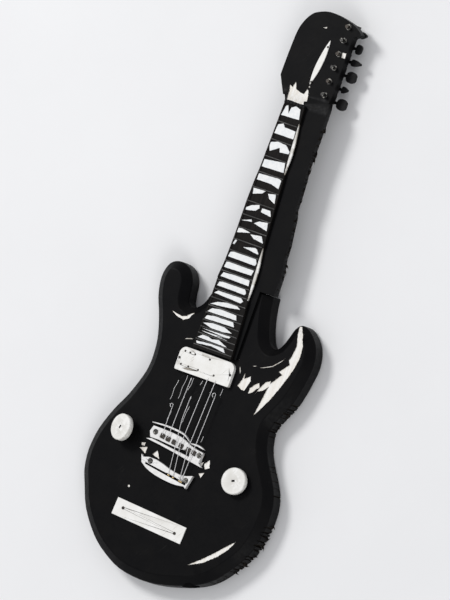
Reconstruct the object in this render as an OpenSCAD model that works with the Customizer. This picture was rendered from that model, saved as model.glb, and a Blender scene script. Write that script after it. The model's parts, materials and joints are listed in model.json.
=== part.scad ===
// Broken electric guitar, lying on its back. Millimetres. +Y towards the headstock, +X treble side,
// +Z out of the face. Origin on the flat back, under the bridge on the string centre line.

/* [Body] */
// Thickness of the body
body_t = 45; // [38:1:52]
// Width of the sloping bevel round the face
bevel_w = 15; // [8:1:18]
// Drop of the bevel at the outer edge
bevel_h = 13; // [6:1:16]
// Chamfer round the back edge
back_chamfer = 5; // [2:1:7]
// Length added to the body between the neck pocket and the bridge
body_stretch = 0; // [-10:1:10]

/* [Neck] */
// Vibrating length, nut to bridge
scale_len = 610; // [580:1:650]
// Number of frets
fret_count = 22; // [19:1:22]
// Depth of the neck wood at the shaft
neck_depth = 27; // [22:1:28]
// Depth of the heel in its pocket
heel_depth = 23; // [18:1:26]
// Height of the neck's top face above the body's face
neck_rise = 5; // [3:1:8]
// Thickness of the fretboard
board_t = 6; // [4:0.5:8]
// Fretboard width at the nut
nut_w = 40; // [38:1:44]
// Thickness of the headstock
head_t = 16; // [14:1:18]
// Gap between the heel and its pocket
pocket_gap = 0.2; // [0.1:0.05:0.5]

/* [Pickup] */
// Length of the pickup cover across the strings
pickup_len = 110; // [100:1:116]
// Width of the pickup cover along the strings
pickup_w = 42; // [38:1:46]
// Height of the cover above the face
pickup_h = 8; // [6:0.5:10]
// Wall of the cover
cover_wall = 2; // [1.5:0.25:3]

/* [Bridge] */
// Height of the bridge casting
bridge_h = 7; // [6:0.5:9]
// Slant of the bridge and tailpiece, in degrees
bridge_slant = -8; // [-8:1:-6]
// Radius of the bridge's posts
post_r = 3; // [2.5:0.25:3.5]
// Radius of a string
string_r = 0.7; // [0.6:0.05:0.8]

/* [Controls] */
// Diameter of a control knob
knob_d = 46; // [40:1:50]
// Height of a control knob
knob_h = 9; // [7:0.5:12]
// Radius of a control shaft
shaft_r = 3; // [2.75:0.25:3.25]
// Tilt of the tone knob on its bent shaft, in degrees
knob_bend = 20; // [0:1:20]
// Length of the blank plate on the face
plate_len = 144; // [120:1:150]
// Width of the blank plate on the face
plate_w = 30; // [26:1:34]
// Radius of the output socket's bore
jack_r = 3.3; // [3.2:0.05:3.4]

/* [Tuners] */
// Distance between tuning posts
tuner_pitch = 24.5; // [22:0.5:25]
// Radius of a tuning post
tuner_post_r = 3; // [2.75:0.25:3.25]
// Length of a tuner's button
button_len = 19; // [16:1:21]

/* [Hidden] */
$fn = 48;
seat = 0.02;          // gap that keeps touching faces of one body apart
slip = 0.05;          // radial running clearance of shafts
wood = "#141212";
pale = "#e9e6dc";
steel = "#b9bcc0";
dark_steel = "#55585c";

// Heights
face_z = body_t;
neck_z = face_z + neck_rise;
board_z = neck_z + board_t;
pocket_z = neck_z - heel_depth;
head_z = neck_z - 7;
head_back_z = head_z - head_t;
shaft_back_z = neck_z - neck_depth;
shoulder_z = back_chamfer + 5;     // underside of the neck's shoulder, just outside its pocket

// Body outline: round points on the lobed left horn, bouts, right horn and neck tongue
tongue_y = 291 + body_stretch;
tongue_x0 = -35;
tongue_x1 = 72;
function up(p) = p[1] > 60 ? [p[0], p[1] + body_stretch] : p;
outline_ctrl = [for (p = [[tongue_x0, 291], [-42, 265], [-51, 241], [-66, 228], [-78, 234], [-82, 251],
    [-85, 269], [-94, 285], [-108, 294], [-124, 295], [-138, 287], [-145, 268], [-144, 247],
    [-138, 225], [-129, 205], [-120, 182], [-113, 158], [-110, 132], [-111, 108], [-117, 85],
    [-130, 52], [-147, 20], [-162, -20], [-167, -58], [-163, -90], [-153, -115], [-134, -155],
    [-102, -193], [-72, -215], [-35, -232], [10, -238], [46, -235], [80, -227], [109, -217],
    [132, -206], [150, -192], [165, -175], [181, -155], [195, -130], [203, -102], [206, -75],
    [205, -48], [198, -24], [186, -3], [172, 17], [160, 37], [153, 57], [151, 78], [159, 98],
    [169, 116], [176, 134], [181, 153], [185, 174], [188, 196], [186, 218], [178, 238],
    [165, 252], [153, 260], [141, 261], [132, 252], [127, 238], [122, 224], [116, 213],
    [108, 208], [97, 212], [89, 224], [82, 243], [76, 265], [tongue_x1, 291]]) up(p)];

// A smooth open curve through the control points, three steps to each span
curve_steps = 3;
function catmull(p0, p1, p2, p3, t) = 0.5 * ((2 * p1) + (p2 - p0) * t
    + (2 * p0 - 5 * p1 + 4 * p2 - p3) * t * t + (3 * p1 - p0 - 3 * p2 + p3) * t * t * t);
function curve(c, s = curve_steps) = let (n = len(c)) concat([for (i = [0:n - 2]) for (k = [0:s - 1])
    catmull(c[max(i - 1, 0)], c[i], c[i + 1], c[min(i + 2, n - 1)], k / s)], [c[n - 1]]);
body_pts = curve(outline_ctrl);
function unit(v) = v / norm(v);
// Outward direction at each point of an open curve that runs counter-clockwise round the body
function outward(p) = let (n = len(p)) [for (i = [0:n - 1])
    let (d = unit(p[min(i + 1, n - 1)] - p[max(i - 1, 0)])) [d[1], -d[0]]];
body_out = outward(body_pts);
// The faces are fanned from four centres: each has the control points that it can see, by index
fans = [[[20, -60], [[17, 47]]], [[-110, 228], [[3, 14]]], [[154, 228], [[53, 63]]],
    [[12, 180], [[0, 3], [14, 17], [47, 53], [63, 68]]]];

// Neck and headstock outline
heel_y0 = 168 + body_stretch;
heel_x0 = -33;
heel_x1 = 53;
head_y = scale_len + 13;
neck_left = [[heel_y0, -34], [tongue_y + 1, -34], [320, -31], [365, -29.5], [430, -30], [465, -29],
    [500, -26.5], [525, -25.5], [585, -23], [scale_len - 5, -22.3], [scale_len + 2, -23],
    [scale_len + 13, -31], [scale_len + 30, -46]];
neck_right = [[heel_y0, 80], [tongue_y + 1, 80], [320, 81], [345, 80], [358, 76.5], [381, 75.5], [405, 72],
    [429, 69], [442, 64.5], [465, 64], [501, 62], [513, 60], [550, 60.5], [scale_len - 10, 61],
    [scale_len + 6, 61], [scale_len + 13, 60], [scale_len + 30, 56]];
function left_x(y) = lookup(y, neck_left);
function right_x(y) = lookup(y, neck_right);
// Fretboard edges run straight from the nut to the last fret, the treble side more steeply
board_y0 = 166;
function board_l(y) = -nut_w * 0.53 - (scale_len - y) * 0.022;
function board_r(y) = nut_w * 0.47 + (scale_len - y) * 0.064;
function fret_y(n) = scale_len * pow(2, -n / 12);
inlay_gap = 2.2;
inlay_t = 1.3;
function inlay_l(y) = board_l(y) + 2.6;
function inlay_r(y) = min(board_r(y) - binding_w - 1, 32);
binding_spans = [[scale_len - 118, scale_len - 28], [270, 363]];
binding_w = 2.4;
nut_len = 4;
rod_x = 9;
rod_r = 2.6;
rod_z = head_z - 8;
rod_end = scale_len + 72;

// Pickup place
pickup_x = 2.5;
pickup_y = 141;
pickup_hole = [pickup_len - 12, pickup_w - 3];
pickup_floor = face_z - 21;
pickup_top = face_z + pickup_h;
pole_rows = [[13.5, [-45, -35, -25, 5]], [-10, [-45, -30, -10, 22]]];
pole_r = 1.6;
pole_len = 3.2;
bobbin_w = 18;
bobbin_z0 = pickup_floor + 6;
bobbin_z1 = pickup_top - cover_wall - seat;
cover_end = 8;

// Bridge place
strings_x = [-34, -22, -9, 6, 22, 34];
bridge_at = [4, -2];
tail_at = [-3, -51];
post_at = [[-50, 3], [45, 3]];
stud_at = [[-34, 4.5], [43.5, 4]];
insert_r = post_r + 2.5;
insert_depth = 20;
bridge_z = face_z + seat;
bridge_top = bridge_z + bridge_h;
plate_t = 2.5;
saddle_size = [8, 8];
saddle_y = 2.5;
saddle_sink = 3;
saddle_z = bridge_top + 3;
tail_slot_y = -2;
tail_slot_w = 3.6;
tail_slot_depth = 4;
ball_r = 1.6;
// Row-frame place of a point given along the slanted bridge or tailpiece
function slanted(p, at) = [at[0] + p[0] * cos(bridge_slant) - p[1] * sin(bridge_slant),
    at[1] + p[0] * sin(bridge_slant) + p[1] * cos(bridge_slant)];

// Controls
vol_at = [130, -26];
tone_at = [-99, -4];
pot_r = 12;
cavity_r = 19;
cavity_top = face_z - 6;
cover_t = 2;
cover_z = 0.3;
channel_top = 16;
duct = [[tone_at[0], -15], [-50, -62], [62, -78], [vol_at[0], -41]];
plate_at = [-3, -138];
plate_turn = -4;
plate_screws = [[-55, 1.5], [55, -2]];
jack_at = [102, -210, 21];
strap_r = 1.75;
strap_depth = 25;

// Tuners
tuner_x = 41;
tuner_y0 = scale_len + 33;
function tuner_y(i) = tuner_y0 + i * tuner_pitch;
key_drop = 6;
key_z = head_back_z - 6;
gear_r = 4.2;
worm_r = 1.6;
housing_t = 11;

// A round bar between two points
module bar(p, q, r) {
    d = q - p;
    translate(p) rotate([0, acos(d[2] / norm(d)), atan2(d[1], d[0])]) cylinder(h = norm(d), r = r);
}
// A round tube swept along a few points
module tube(p, r) {
    m = 8;
    n = len(p);
    ring = [for (i = [0:n - 1]) let (d = unit(p[min(i + 1, n - 1)] - p[max(i - 1, 0)]),
        u = unit(cross(d, abs(d[2]) > 0.9 ? [1, 0, 0] : [0, 0, 1])), v = cross(d, u))
        for (k = [0:m - 1]) p[i] + r * (u * cos(k * 360 / m) + v * sin(k * 360 / m))];
    polyhedron(ring, concat([[for (k = [0:m - 1]) k]], [[for (k = [m - 1:-1:0]) (n - 1) * m + k]],
        [for (s = [0:n - 2]) for (k = [0:m - 1]) let (a = s * m + k, b = s * m + (k + 1) % m)
            each [[a, b + m, b], [a, a + m, b + m]]]));
}
// A countersunk or round-headed screw pointing down -Z, its head's underside at z = 0
module screw(r, len, head_r, head_h) {
    translate([0, 0, -len]) cylinder(h = len + 0.1, r = r);
    cylinder(h = head_h * 0.55, r = head_r);
    translate([0, 0, head_h * 0.55 - 0.01]) cylinder(h = head_h * 0.45, r1 = head_r, r2 = head_r * 0.6);
}
module cross_slot(head_r, z, depth) {
    for (a = [0, 90]) rotate(a) translate([-head_r * 0.6, -0.35, z - depth]) cube([head_r * 1.2, 0.7,
        depth + 1]);
}
// The solid body: back chamfer, upright side and sloping bevel, its two faces fanned from their centres
module body_shell() {
    n = len(body_pts);
    levels = [[0, back_chamfer], [back_chamfer, 0], [face_z - bevel_h, 0], [face_z, bevel_w]];
    rings = [for (l = levels) for (i = [0:n - 1]) [each (body_pts[i] - body_out[i] * l[1]), l[0]]];
    centres = [for (z = [0, face_z]) for (f = fans) [each (up(f[0])), z]];
    side = [for (l = [0:2]) for (i = [0:n - 1]) let (a = l * n + i, b = l * n + (i + 1) % n)
        each [[a, b + n, b], [a, a + n, b + n]]];
    caps = [for (k = [0:3]) let (ids = [for (r = fans[k][1]) for (i = [r[0] * curve_steps:r[1] *
        curve_steps]) i],
        m = len(ids)) for (i = [0:m - 1]) let (a = ids[i], b = ids[(i + 1) % m])
        each [[4 * n + k, a, b], [4 * n + 4 + k, 3 * n + b, 3 * n + a]]];
    polyhedron(concat(rings, centres), concat(side, caps));
}
module place_bridge() { translate([each bridge_at, 0]) rotate(bridge_slant) children(); }
module place_tail() { translate([each tail_at, 0]) rotate(bridge_slant) children(); }
// Sideways step, at each point of a crooked line, that keeps both edges of a band parallel to it
function mitre(p) = let (n = len(p)) [for (i = [0:n - 1])
    let (a = unit(p[max(i, 1)] - p[max(i, 1) - 1]), b = unit(p[min(i + 1, n - 1)] - p[min(i, n - 2)]),
        s = a + b)
        [-s[1], s[0]] / (1 + a * b)];
module duct_shape(w, r) {
    side = mitre(duct);
    last = len(duct) - 1;
    polygon(concat([for (i = [0:last]) duct[i] - side[i] * w / 2], [for (i = [last:-1:0])
        duct[i] + side[i] * w / 2]));
    translate(tone_at) circle(r);
    translate(vol_at) circle(r);
}
screw_ring = cavity_r + 4.5;
cover_holes = concat([for (a = [180, 55]) tone_at + screw_ring * [cos(a), sin(a)]],
    [for (a = [0, 100]) vol_at + screw_ring * [cos(a), sin(a)]], [[-30, -55], [30, -85]]);

module body() {
    color(wood) difference() {
        body_shell();
        // neck pocket, pickup hollow and the blank plate's hollow
        translate([heel_x0 - pocket_gap, heel_y0, pocket_z])
            cube([heel_x1 - heel_x0 + 2 * pocket_gap, tongue_y - heel_y0 + 10, heel_depth + 10]);
        translate([pickup_x, pickup_y, pickup_floor + 15])
            cube([pickup_hole[0], pickup_hole[1], 30], center = true);
        translate([plate_at[0], plate_at[1], face_z]) rotate(plate_turn)
            cube([plate_len - 40, plate_w - 12, 24], center = true);
        // control hollows, the duct between them and the cover's rebate
        translate([tone_at[0], tone_at[1], -1]) cylinder(h = cavity_top + 1, r = cavity_r);
        translate([vol_at[0], vol_at[1], -1]) cylinder(h = cavity_top + 1, r = cavity_r);
        translate([0, 0, -1]) linear_extrude(channel_top + 1) duct_shape(12, cavity_r);
        translate([0, 0, -1]) linear_extrude(cover_z + cover_t + 1) duct_shape(30, cavity_r + 9);
        for (p = cover_holes) translate([p[0], p[1], 0]) cylinder(h = 14, r = 1.2);
        for (p = [tone_at, vol_at]) translate([p[0], p[1], 0]) cylinder(h = body_t + 1, r = 5);
        // lead holes: pickup to volume control, volume control to socket
        bar([pickup_x + 44, pickup_y - 12, pickup_floor + 4], [vol_at[0] - 6, vol_at[1] + 14, 20], 3);
        bar([jack_at[0], jack_at[1] + 30, jack_at[2]], [vol_at[0], vol_at[1] - 12, 20], 3);
        // output socket: seat for the plate, barrel hole
        translate([jack_at[0], jack_at[1] + 42, jack_at[2]]) rotate([90, 0, 0]) cylinder(h = 43, r = 9);
        translate([jack_at[0], jack_at[1], jack_at[2]]) rotate([90, 0, 0]) cylinder(h = 30, r = 15);
        for (s = [-1, 1]) translate([jack_at[0] + s * 11.5, jack_at[1] + 10, jack_at[2]])
            rotate([90, 0, 0]) cylinder(h = 11, r = 1);
        // posts, studs, fixing screws
        place_bridge() for (p = post_at) translate([p[0], p[1], face_z - insert_depth])
            cylinder(h = insert_depth + 1, r = insert_r);
        place_tail() for (p = stud_at) translate([p[0], p[1], face_z - insert_depth])
            cylinder(h = insert_depth + 1, r = insert_r);
        for (p = plate_screws) translate([plate_at[0], plate_at[1], 0]) rotate(plate_turn)
            translate([p[0], p[1], face_z - 10]) cylinder(h = 11, r = 1.3);
        for (s = [-1, 1]) translate([pickup_x + s * (pickup_len / 2 - 3.5), pickup_y, face_z - 12])
            cylinder(h = 13, r = 1.2);
        for (p = neck_holes) translate([p[0], p[1], -1]) {
            cylinder(h = pocket_z + 2, r = 2.5);
            cylinder(h = 1 + cover_z + 4, r = 7.5);
        }
        // pilot holes left by the strap buttons
        translate([10, -240, 22]) rotate([-90, 0, 0]) cylinder(h = strap_depth + 2, r = strap_r);
        translate([-118, 296 - strap_depth + body_stretch, 22]) rotate([-90, 0, 0]) cylinder(h = 30,
            r = strap_r);
    }
}
neck_holes = [for (x = [-18, 38]) for (y = [heel_y0 + 22, heel_y0 + 88]) [x, y]];

// One ring of the neck's section at y: flat on top, rounded below
ring_n = 14;
function shaft_ring(y) = let (l = left_x(y), r = right_x(y), c = (l + r) / 2, h = (r - l) / 2,
    top = lookup(y, [[scale_len + nut_len + 2, neck_z], [head_y + 8, head_z]]),
    bot = lookup(y, [[tongue_y + 1, shoulder_z], [tongue_y + 60, shaft_back_z], [scale_len - 15,
        shaft_back_z],
        [head_y + 8, head_back_z]]), edge = 5)
    concat([[r, y, top], [l, y, top]], [for (k = [0:ring_n - 1]) let (a = 180 + 180 * k / (ring_n - 1))
        [c + h * cos(a), y, top - edge - (top - bot - edge) * pow(-sin(a), 0.55)]]);
shaft_ys = [tongue_y + 0.6, tongue_y + 14, tongue_y + 30, tongue_y + 46, 358, 381, 405, 429, 442, 465, 490,
    513, 540, 570, 590, scale_len - 15, scale_len - 3, scale_len + nut_len + 2, scale_len + 10, head_y,
    head_y + 8];
module shaft() {
    m = ring_n + 2;
    pts = [for (y = shaft_ys) each shaft_ring(y)];
    last = (len(shaft_ys) - 1) * m;
    polyhedron(pts, concat([[for (k = [0:m - 1]) m - 1 - k]], [[for (k = [0:m - 1]) last + k]],
        [for (s = [0:len(shaft_ys) - 2]) for (k = [0:m - 1]) let (a = s * m + k, b = s * m + (k + 1) % m)
            each [[a, b, b + m], [a, b + m, a + m]]]));
}
head_shape = curve([[51, head_y - 1], [53.5, head_y + 12], [55, head_y + 30], [55, head_y + 70],
    [55, head_y + 122], [61, head_y + 131], [68, head_y + 136], [58, head_y + 144], [45, head_y + 150],
    [23, head_y + 155], [6, head_y + 157], [-8, head_y + 156], [-23, head_y + 151], [-34, head_y + 144],
    [-44, head_y + 129], [-50, head_y + 110], [-52, head_y + 80], [-53, head_y + 34], [-51, head_y + 26],
    [-44, head_y + 13], [-36, head_y - 1]]);
module neck() {
    color(wood) difference() {
        union() {
            shaft();
            translate([heel_x0, heel_y0 + pocket_gap, pocket_z + seat])
                cube([heel_x1 - heel_x0, tongue_y - heel_y0 + 1, heel_depth - seat]);
            translate([0, 0, head_back_z]) linear_extrude(head_t) polygon(head_shape);
        }
        // truss rod bore and the pocket of its nut
        translate([rod_x, heel_y0 + 20, rod_z]) rotate([-90, 0, 0])
            cylinder(h = rod_end - heel_y0 - 20, r = rod_r + 0.1);
        translate([rod_x - 3.6, rod_end - 14, rod_z - 3.6]) cube([7.2, 22, 20]);
        for (p = neck_holes) translate([p[0], p[1], pocket_z - 1]) cylinder(h = heel_depth - 5, r = 1.9);
        for (i = [0:5]) translate([tuner_x, tuner_y(i), head_back_z - 1]) cylinder(h = head_t + 2,
            r = tuner_post_r + 1.9);
        for (i = [0:5]) translate([tuner_x - 12, tuner_y(i) - 3, head_back_z - 1]) cylinder(h = 9, r = 1);
        for (p = leaf_screws) translate([p[0], p[1], head_z - 7]) cylinder(h = 8, r = 0.9);
    }
}
leaf_screws = [[8.6, rod_end - 22 - 3], [16.6, rod_end + 40]];

module fretboard() {
    color("#1c1614") difference() {
        translate([0, 0, neck_z + seat]) linear_extrude(board_t - seat) polygon([
            [board_l(board_y0), board_y0], [board_r(board_y0), board_y0],
            [board_r(scale_len - seat), scale_len - seat], [board_l(scale_len - seat), scale_len - seat]]);
        for (n = [1:fret_count]) translate([-80, fret_y(n) - 0.3, board_z - 2]) cube([160, 0.6, 3]);
        translate([0, 0, board_z - inlay_t]) linear_extrude(2) inlay_shapes(0);
        for (s = binding_spans) translate([0, 0, board_z - 3]) linear_extrude(4) binding_shape(s, 0);
    }
}
module inlay_shapes(g) {
    for (n = [0:fret_count - 1]) let (a = fret_y(n + 1) + inlay_gap / 2 + g,
        b = (n == 0 ? scale_len : fret_y(n)) - inlay_gap / 2 - g)
        polygon([[inlay_l(a) + g, a], [inlay_r(a) - g, a], [inlay_r(b) - g, b], [inlay_l(b) + g, b]]);
}
module fret_inlays() {
    color(pale) translate([0, 0, board_z - inlay_t + seat]) linear_extrude(inlay_t - seat)
        inlay_shapes(seat);
}
module binding_shape(s, g) {
    polygon([[board_r(s[0]) - binding_w + g, s[0] + g], [board_r(s[0]) + 1 - g * 40, s[0] + g],
        [board_r(s[1]) + 1 - g * 40, s[1] - g], [board_r(s[1]) - binding_w + g, s[1] - g]]);
}
module binding_strips() {
    color(pale) for (s = binding_spans) translate([0, 0, board_z - 3 + seat])
        linear_extrude(3 - seat) binding_shape(s, seat);
}
module frets() {
    crown = concat([[-0.28, -1.9], [0.28, -1.9], [0.28, 0], [1.2, 0]],
        [for (a = [20:20:160]) [1.2 * cos(a), 1.1 * sin(a)]], [[-1.2, 0], [-0.28, 0]]);
    color(dark_steel) for (n = [1:fret_count]) let (y = fret_y(n), l = board_l(y) + 0.5, r = board_r(y)
        - 0.5 - fret_trim(y))
        translate([l, y, board_z + seat]) rotate([90, 0, 90]) linear_extrude(r - l) polygon(crown);
}
function fret_trim(y) = max([for (s = binding_spans) y > s[0] - 2 && y < s[1] + 2 ? binding_w : 0]);
module nut() {
    w = board_r(scale_len) - board_l(scale_len);
    color("#2b2724") difference() {
        translate([board_l(scale_len), scale_len + seat, neck_z + seat]) cube([w, nut_len, board_t + 1.8]);
        for (k = [0:5]) translate([board_l(scale_len) + 4 + k * (w - 8) / 5, scale_len - 1, board_z + 1.2])
            rotate([-90, 0, 0]) cylinder(h = nut_len + 2, r = 0.7);
    }
}
module truss_rod() {
    color(steel) translate([rod_x, heel_y0 + 24, rod_z]) rotate([-90, 0, 0])
        cylinder(h = rod_end + 4 - heel_y0 - 24, r = rod_r);
}
module truss_rod_nut() {
    color("#8a6d3b") translate([rod_x, rod_end - 11, rod_z]) rotate([-90, 0, 0]) difference() {
        rotate(30) cylinder(h = 12, r = 3.5, $fn = 6);
        translate([0, 0, -1]) cylinder(h = 14, r = rod_r + seat);
    }
}
module truss_cover() {
    color(pale) difference() {
        translate([0, 0, head_z + seat]) linear_extrude(1.8) polygon(concat(
            curve([[7.5, rod_end - 30], [12, rod_end - 16], [16, rod_end], [18.6, rod_end + 22],
                [18.4, rod_end + 40], [17.2, rod_end + 52]]),
            curve([[16.4, rod_end + 52], [11.5, rod_end + 36], [7.4, rod_end + 16], [5.2, rod_end - 2],
                [5.2, rod_end - 18], [6.8, rod_end - 30]])));
        for (p = leaf_screws) translate([p[0], p[1], head_z - 1]) cylinder(h = 4, r = 1.1);
    }
}
module truss_cover_screws() {
    color(dark_steel) for (p = leaf_screws) translate([p[0], p[1], head_z + 1.8 + 2 * seat]) difference() {
        screw(0.85, 7, 1.7, 1);
        cross_slot(1.7, 1, 0.5);
    }
}
module neck_screws() {
    color(steel) for (p = neck_holes) translate([p[0], p[1], cover_z + 1.2 - seat]) rotate([180, 0, 0])
        difference() {
        screw(1.85, pocket_z + 14, 4, 1.1);
        cross_slot(4, 1.1, 0.8);
    }
}
module neck_ferrules() {
    color(steel) for (p = neck_holes) translate([p[0], p[1], cover_z]) difference() {
        cylinder(h = 4, r = 7.4);
        translate([0, 0, -1]) cylinder(h = 6, r = 2.3);
        translate([0, 0, -1]) cylinder(h = 2.2, r = 4.3);
    }
}

// Pickup: cover shell, two coils on bobbins over a bar magnet and a baseplate
module cover_shape(g) {
    l = pickup_len / 2 - g;
    w = pickup_w / 2 - g;
    big = 12 - g;
    small = max(2.5 - g, 0.5);
    polygon(concat([for (a = [0:10:90]) [l - big + big * cos(a), w - big + big * sin(a)]],
        [for (a = [90:10:180]) [-l + big + big * cos(a), w - big + big * sin(a)]],
        [for (a = [180:30:270]) [-l + small + small * cos(a), -w + small + small * sin(a)]],
        [for (a = [270:30:360]) [l - small + small * cos(a), -w + small + small * sin(a)]]));
}
module at_pickup(z) { translate([pickup_x, pickup_y, z]) children(); }
module pole_places() {
    for (row = pole_rows) for (x = row[1]) translate([x, row[0], 0]) children();
}
module pickup_cover() {
    color(pale) at_pickup(0) difference() {
        translate([0, 0, face_z + seat]) linear_extrude(pickup_h - seat) cover_shape(0);
        translate([-pickup_len / 2 + cover_end, -pickup_w / 2 + cover_wall, face_z - 1])
            cube([pickup_len - 2 * cover_end, pickup_w - 2 * cover_wall, pickup_h - cover_wall + 1]);
        translate([0, 0, pickup_top - cover_wall - 1]) pole_places() cylinder(h = 5, r = pole_r + 0.1);
        for (s = [-1, 1]) translate([s * (pickup_len / 2 - 3.5), 0, face_z]) cylinder(h = 20, r = 1.3);
    }
}
module racetrack(l, w) {
    translate([-(l - w) / 2, -w / 2]) square([l - w, w]);
    for (s = [-1, 1]) translate([s * (l - w) / 2, 0]) circle(w / 2);
}
bobbin_y = bobbin_w / 2 + 0.3;
bobbin_l = pickup_len - 2 * cover_end - 1;
flange_t = 1.4;
core_w = 7;
module pickup_bobbins() {
    color("#2a2a2c") for (s = [-1, 1]) at_pickup(0) translate([0, s * bobbin_y, 0]) difference() {
        union() {
            translate([0, 0, bobbin_z0]) linear_extrude(bobbin_z1 - bobbin_z0)
                racetrack(bobbin_l - 14, core_w);
            for (z = [bobbin_z0, bobbin_z1 - flange_t]) translate([-bobbin_l / 2, -bobbin_w / 2, z])
                cube([bobbin_l, bobbin_w, flange_t]);
        }
        translate([0, -s * bobbin_y, bobbin_z1 - pole_len]) pole_places()
            cylinder(h = 20, r = pole_r + 0.1);
    }
}
module pickup_coils() {
    color("#7a3b1e") for (s = [-1, 1]) at_pickup(bobbin_z0 + flange_t + pole_len)
        translate([0, s * bobbin_y, 0])
        linear_extrude(bobbin_z1 - bobbin_z0 - 2 * (flange_t + pole_len)) difference() {
            racetrack(bobbin_l - 4, bobbin_w - 2);
            racetrack(bobbin_l - 14 + 0.1, core_w + 0.1);
        }
}
module pickup_magnet() {
    color(dark_steel) at_pickup(pickup_floor + 2 + seat) translate([-35, -4, 0])
        cube([70, 8, bobbin_z0 - pickup_floor - 2 - 2 * seat]);
}
module pickup_baseplate() {
    color(steel) at_pickup(pickup_floor + seat) difference() {
        translate([-pickup_hole[0] / 2 + 1, -pickup_hole[1] / 2 + 1, 0])
            cube([pickup_hole[0] - 2, pickup_hole[1] - 2, 2 - seat]);
        for (x = [-40, 40]) translate([x, 0, -1]) cylinder(h = 4, r = 2);
    }
}
module pole_screws() {
    color(dark_steel) at_pickup(pickup_top + 0.3 - pole_len - cover_wall) pole_places() difference() {
        cylinder(h = pole_len + cover_wall, r = pole_r);
        translate([-2, -0.3, pole_len + cover_wall - 0.6]) cube([4, 0.6, 1]);
    }
}
module pickup_screws() {
    color(steel) for (s = [-1, 1]) at_pickup(pickup_top + seat)
        translate([s * (pickup_len / 2 - 3.5), 0, 0]) difference() {
            screw(1.1, pickup_h + 10, 2.2, 1.2);
            cross_slot(2.2, 1.2, 0.6);
        }
}

// Bridge and tailpiece
lens = [[-59, 11], [-36, 14], [-19, 15.5], [-2, 16], [9, 14.5], [19, 11.5], [33, 10], [50, 10], [50, -10],
    [28, -9], [28, -5], [22, 4.5], [12, -1.5], [0, -4], [-22, -5.5], [-39, -6.5], [-55, -9], [-61, 0]];
low_bar = [[-62, -14.2], [-32, -13.2], [2, -13], [25, -13.5], [59, -13.5], [50, -9], [28, -8], [24, -7.6],
    [-10, -8.8], [-52, -10]];
base_plate = [[-60, -13.5], [52, -13], [49.5, 9], [33, 9.5], [19, 11], [9, 14], [-2, 15.5],
    [-36, 13.5], [-58, 10.5]];
tail_shape = [[-56, 8.5], [-50, 5], [-40, 9.5], [-26, 11.5], [-12, 10.5], [6, 8], [17, 7.5], [29, 8],
    [40, 11],
    [52, 17], [50, 1], [49.5, -9], [44.5, -6.5], [31, -10.5], [20, -12.3], [3, -13.2], [-14, -13],
    [-26, -11.7], [-37, -9.3], [-49, -4]];
module bridge_base() {
    color(pale) place_bridge() difference() {
        union() {
            translate([0, 0, bridge_z]) linear_extrude(plate_t) polygon(base_plate);
            translate([0, 0, bridge_z]) linear_extrude(bridge_h) polygon(lens);
            translate([0, 0, bridge_z]) linear_extrude(bridge_h) polygon(low_bar);
        }
        for (x = strings_x) translate([x, saddle_y, bridge_top - saddle_sink + 5])
            cube([saddle_size[0] + 2 * seat, saddle_size[1] + 2 * seat, 10], center = true);
        for (p = post_at) translate([p[0], p[1], bridge_z - 1]) {
            cylinder(h = bridge_h + 2, r = post_r + 0.3);
            translate([0, 0, bridge_h - 1]) cylinder(h = 5, r = post_r + 1.7);
        }
    }
}
rest_pts = [[-65, 15], [-37, 20.5], [-12, 22.5], [3, 21.5], [17.5, 14.6]];
rest_pts2 = [[20, 14], [34, 16.5], [48, 15.5]];
module bridge_rest_bar() {
    color(pale) place_bridge() for (c = [rest_pts, rest_pts2]) let (p = curve(c), n = len(p), w = 1.3)
        translate([0, 0, face_z + seat]) linear_extrude(bridge_h - 1) polygon(concat(
            [for (i = [0:n - 1]) p[i] + [0, w * sin(20 + 160 * i / (n - 1)) + 0.3]],
            [for (i = [n - 1:-1:0]) p[i] - [0, w * sin(20 + 160 * i / (n - 1)) + 0.3]]));
}
module bridge_saddles() {
    color(dark_steel) place_bridge() for (x = strings_x)
        translate([x, saddle_y, bridge_top - saddle_sink + seat]) difference() {
            translate([-saddle_size[0] / 2, -saddle_size[1] / 2, 0])
                cube([saddle_size[0], saddle_size[1], saddle_z - bridge_top + saddle_sink - string_r]);
            translate([0, -2.4, -1]) cylinder(h = 20, r = 1.25);
        }
}
module saddle_screws() {
    color(steel) place_bridge() for (x = strings_x)
        translate([x, saddle_y - 2.4, bridge_top - saddle_sink + seat + 0.3]) difference() {
            cylinder(h = saddle_z - bridge_top + saddle_sink - string_r - 1.4, r = 1.2);
            translate([0, 0, 3]) cylinder(h = 5, r = 0.6, $fn = 6);
        }
}
module stud(head_z) {
    translate([0, 0, face_z - insert_depth + 3])
        cylinder(h = head_z - face_z + insert_depth - 3, r = post_r);
    translate([0, 0, head_z - 1 + seat]) difference() {
        cylinder(h = 2, r = post_r + 1.4);
        translate([-8, -0.5, 1.2]) cube([16, 1, 2]);
    }
}
module bridge_posts() {
    color(steel) place_bridge() for (p = post_at) translate([p[0], p[1], 0]) stud(bridge_top);
}
module insert() {
    translate([0, 0, face_z - insert_depth + seat]) difference() {
        cylinder(h = insert_depth - 2 * seat, r = insert_r - seat);
        translate([0, 0, 2]) cylinder(h = insert_depth, r = post_r + seat);
    }
}
module post_inserts() {
    color("#8a6d3b") place_bridge() for (p = post_at) translate([p[0], p[1], 0]) insert();
}
module stud_inserts() {
    color("#8a6d3b") place_tail() for (p = stud_at) translate([p[0], p[1], 0]) insert();
}
module tailpiece() {
    color(pale) place_tail() difference() {
        translate([0, 0, bridge_z]) linear_extrude(bridge_h) polygon(tail_shape);
        translate([-41, tail_slot_y - tail_slot_w / 2, bridge_top - tail_slot_depth])
            cube([87, tail_slot_w, 10]);
        for (p = stud_at) translate([p[0], p[1], bridge_z - 1]) {
            cylinder(h = bridge_h + 2, r = post_r + 0.3);
            translate([0, 0, bridge_h - 1]) cylinder(h = 5, r = post_r + 1.7);
        }
    }
}
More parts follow.
